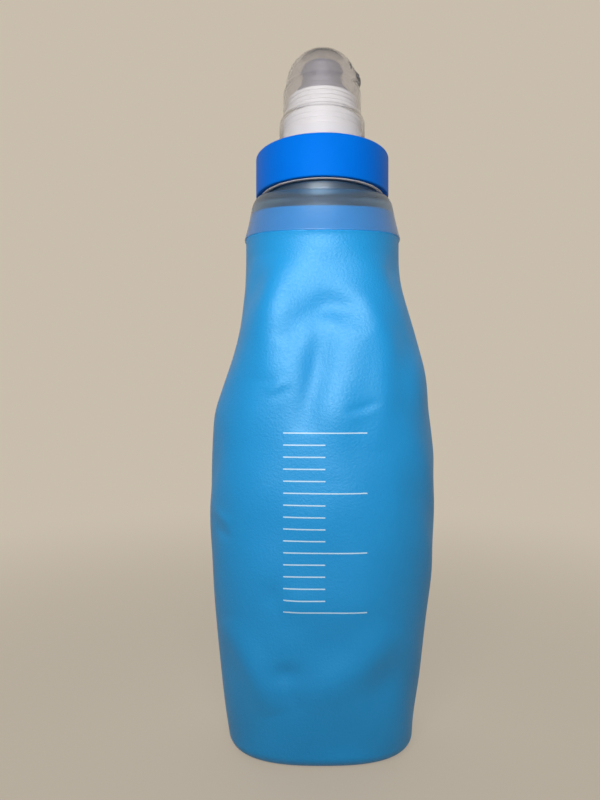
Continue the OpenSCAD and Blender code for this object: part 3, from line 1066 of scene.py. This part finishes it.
def gauge_tree():
    """Row of printed lines up the film, every few of them long, laid on the film's surface."""
    tree, given = new_tree(
        "printed_gauge",
        {
            "Film": "NodeSocketObject",
            "Count": "NodeSocketInt",
            "Long Every": "NodeSocketInt",
            "Pitch": "NodeSocketFloat",
            "Left": "NodeSocketFloat",
            "Bottom": "NodeSocketFloat",
            "Long": "NodeSocketFloat",
            "Short": "NodeSocketFloat",
            "Line": "NodeSocketFloat",
            "Lift": "NodeSocketFloat",
            "Material": "NodeSocketMaterial",
        },
    )
    # The lines start in front of the film and drop straight back onto it
    start = add(tree, "ShaderNodeCombineXYZ", {"X": given["Left"], "Y": -0.1, "Z": given["Bottom"]})
    step = add(tree, "ShaderNodeCombineXYZ", {"Z": given["Pitch"]})
    places = add(
        tree,
        "GeometryNodeMeshLine",
        {
            "Count": given["Count"],
            "Start Location": start.outputs["Vector"],
            "Offset": step.outputs["Vector"],
        },
    )
    strip = add(tree, "GeometryNodeMeshGrid", {"Size X": 1.0, "Size Y": 1.0, "Vertices X": 40, "Vertices Y": 2})
    stood = add(
        tree,
        "GeometryNodeTransform",
        {"Geometry": strip.outputs["Mesh"], "Translation": (0.5, 0, 0), "Rotation": (math.pi / 2, 0, 0)},
    )
    order = add(tree, "GeometryNodeInputIndex", {})
    since_long = add(
        tree, "ShaderNodeMath", {0: order.outputs["Index"], 1: given["Long Every"]}, operation="MODULO"
    )
    is_short = add(tree, "ShaderNodeMath", {0: since_long.outputs["Value"], 1: 0.5}, operation="GREATER_THAN")
    length = add(
        tree,
        "ShaderNodeMapRange",
        {"Value": is_short.outputs["Value"], "To Min": given["Long"], "To Max": given["Short"]},
    )
    size = add(tree, "ShaderNodeCombineXYZ", {"X": length.outputs["Result"], "Y": 1.0, "Z": given["Line"]})
    lines = add(
        tree,
        "GeometryNodeInstanceOnPoints",
        {
            "Points": places.outputs["Mesh"],
            "Instance": stood.outputs["Geometry"],
            "Scale": size.outputs["Vector"],
        },
    )
    whole = add(tree, "GeometryNodeRealizeInstances", {"Geometry": lines.outputs["Instances"]})
    film = add(tree, "GeometryNodeObjectInfo", {"Object": given["Film"]})
    hit = add(
        tree,
        "GeometryNodeRaycast",
        {"Target Geometry": film.outputs["Geometry"], "Ray Direction": (0, 1, 0), "Ray Length": 0.2},
    )
    proud = add(
        tree, "ShaderNodeVectorMath", {0: hit.outputs["Hit Normal"], "Scale": given["Lift"]}, operation="SCALE"
    )
    on_film = add(
        tree,
        "GeometryNodeSetPosition",
        {
            "Geometry": whole.outputs["Geometry"],
            "Position": hit.outputs["Hit Position"],
            "Offset": proud.outputs["Vector"],
        },
    )
    dressed = add(
        tree, "GeometryNodeSetMaterial", {"Geometry": on_film.outputs["Geometry"], "Material": given["Material"]}
    )
    add(tree, "NodeGroupOutput", {"Geometry": dressed.outputs["Geometry"]})
    return tree


thread = thread_tree()


def screw_thread(name, radius, low_z, turns, material):
    """Ridge of the screw thread on a wall of that radius."""
    return grown(
        name,
        thread,
        {
            "Radius": radius * MM,
            "Rise": thread_pitch * turns * MM,
            "Turns": turns,
            "Start": low_z * MM,
            "Depth": thread_h * MM,
            "Width": thread_w * MM,
            "Material": material,
        },
    )


neck_thread = screw_thread("neck_thread", neck_r, thread_z, thread_turns, collar_material)
cap_thread = screw_thread("cap_thread", cap_skirt_in_r, thread_z + thread_pitch / 2, cap_thread_turns, white_material)
gauge = grown(
    "printed_gauge",
    gauge_tree(),
    {
        "Film": film_front,
        "Count": gauge_count,
        "Long Every": gauge_long_every,
        "Pitch": gauge_pitch * MM,
        "Left": gauge_left * MM,
        "Bottom": gauge_bottom * MM,
        "Long": gauge_long * MM,
        "Short": gauge_short * MM,
        "Line": gauge_line * MM,
        "Lift": gauge_lift * MM,
        "Material": ink_material,
    },
)

# Pieces on their bodies; the film's halves and the gauge are baked in place and put on none

fold_with_neck(finished(film_front, film_material, ["front_panel"]))
fold_with_neck(finished(film_rear, film_material, ["rear_panel"]))
fold_with_neck(finished(gauge, ink_material))
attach(finished(film_base, base_material, ["base_panel"]), "flask")
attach(finished(collar, collar_material, ["neck_collar"]), "neck")
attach(finished(neck_thread, collar_material), "neck")
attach(finished(ring, ring_material, ["cap_ring"]), "cap")
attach(finished(cap_shell, white_material, ["cap_body"]), "cap")
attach(finished(post, white_material), "cap")
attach(finished(cap_thread, white_material), "cap")
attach(finished(spout, spout_material, ["spout"]), "spout")
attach(finished(cover, cover_material, ["dust_cover"]), "cover")
for seal in ("cap_gasket", "spout_seal"):
    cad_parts[seal].data.materials.clear()
    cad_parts[seal].data.materials.append(silicone_material)

# Studio, in metres: a round sweep of pale paper, a soft key light over the lens, two wide lights behind, and the camera

paper = "#C9BEAD"
paper_shade = "#A89E90"
sweep_r = 1.3
sweep_round = 0.5
sweep_h = 2.2
sweep_columns = 96


def paper_sweep():
    """Floor that turns up into a wall all round."""
    flat_r = sweep_r - sweep_round
    outline = [(0.001, 0), (sweep_r * 0.3, 0), (flat_r, 0)]
    for a in np.linspace(-math.pi / 2, 0, 16)[1:]:
        outline.append((flat_r + sweep_round * math.cos(a), sweep_round + sweep_round * math.sin(a)))
    outline.append((sweep_r, sweep_h))
    angles = np.arange(sweep_columns) * 2 * math.pi / sweep_columns
    points = [(r * math.cos(a), r * math.sin(a), z) for r, z in outline for a in angles]
    faces = [face[::-1] for face in grid_faces(len(outline), sweep_columns, wrap_columns=True)]
    faces.append(tuple(range(sweep_columns)))
    mesh = bpy.data.meshes.new("paper_sweep")
    mesh.from_pydata(points, [], faces)
    mesh.shade_smooth()
    made = bpy.data.objects.new("paper_sweep", mesh)
    bpy.context.scene.collection.objects.link(made)
    return made


def paper_material():
    """Pale seamless paper. Away from the bottle it shows its plain colour to the camera and in gloss and clear plastic.

    From below the paper is clear, so that the base can be looked at.
    """
    material, tree, coords = new_material("seamless_paper")
    fibre = add(tree, "ShaderNodeTexNoise", {"Vector": coords, "Scale": per_mm(1.5), "Detail": 3})
    bump = add(tree, "ShaderNodeBump", {"Height": fibre.outputs["Fac"], "Distance": 0.05 * MM, "Strength": 0.3})
    matt = add(
        tree,
        "ShaderNodeBsdfPrincipled",
        {"Base Color": linear(paper_shade), "Roughness": 0.9, "Normal": bump.outputs["Normal"]},
    )
    plain = add(tree, "ShaderNodeEmission", {"Color": linear(paper), "Strength": 1})
    distance = add(tree, "ShaderNodeVectorMath", {0: coords}, operation="LENGTH").outputs["Value"]
    wall = add(
        tree,
        "ShaderNodeMapRange",
        {"Value": distance, "From Min": 0.08, "From Max": 0.5, "To Min": 0.6},
        interpolation_type="SMOOTHSTEP",
    ).outputs["Result"]
    path = add(tree, "ShaderNodeLightPath", {}).outputs
    seen = path["Is Camera Ray"]
    for other in ("Is Glossy Ray", "Is Transmission Ray"):
        seen = add(tree, "ShaderNodeMath", {0: seen, 1: path[other]}, operation="MAXIMUM").outputs["Value"]
    shown = add(tree, "ShaderNodeMath", {0: seen, 1: wall}, operation="MULTIPLY").outputs["Value"]
    front = add(tree, "ShaderNodeMixShader", {0: shown, 1: matt.outputs["BSDF"], 2: plain.outputs["Emission"]})
    clear = add(tree, "ShaderNodeBsdfTransparent", {})
    under = add(tree, "ShaderNodeNewGeometry", {}).outputs["Backfacing"]
    both = add(tree, "ShaderNodeMixShader", {0: under, 1: front.outputs["Shader"], 2: clear.outputs["BSDF"]})
    add(tree, "ShaderNodeOutputMaterial", {"Surface": both.outputs["Shader"]})
    return material


paper_sweep().data.materials.append(paper_material())

world = bpy.data.worlds.new("studio")
bpy.context.scene.world = world
world.use_nodes = True
world.node_tree.nodes.clear()
sky = add(world.node_tree, "ShaderNodeBackground", {"Color": linear("#F2F4F8"), "Strength": 0.04})
add(world.node_tree, "ShaderNodeOutputWorld", {"Surface": sky.outputs["Background"]})


def soft_light(name, place_at, aim, size, watts, shines=True):
    """Square soft light that looks at a point. Unless it shines, it is kept out of the bottle's gloss."""
    lamp = bpy.data.lights.new(name, "AREA")
    lamp.size = size
    lamp.energy = watts
    made = bpy.data.objects.new(name, lamp)
    made.location = place_at
    made.rotation_euler = (Vector(aim) - Vector(place_at)).to_track_quat("-Z", "Y").to_euler()
    made.visible_camera = False
    made.visible_transmission = False
    made.visible_glossy = shines
    bpy.context.scene.collection.objects.link(made)


middle = (0, 0, 0.16)
soft_light("key_light", (-0.03, -0.23, 0.215), middle, size=0.14, watts=0.6)
soft_light("left_light", (-0.55, 0.8, 0.6), middle, size=1.2, watts=7, shines=False)
soft_light("right_light", (0.55, 0.8, 0.6), middle, size=1.2, watts=7, shines=False)

# The lens and its place put the bottle's outline and the ellipses of its cap where the photograph has them
lens = 27.05
lens_at = (-0.0084, -0.229, 0.127)
camera_data = bpy.data.cameras.new("camera")
camera_data.sensor_width = 36
camera_data.lens = lens
camera_data.clip_start = 0.01
camera = bpy.data.objects.new("camera", camera_data)
camera.location = lens_at
camera.rotation_euler = (math.pi / 2, 0, 0)
bpy.context.scene.collection.objects.link(camera)
bpy.context.scene.camera = camera
bpy.context.scene.view_settings.view_transform = "Standard"
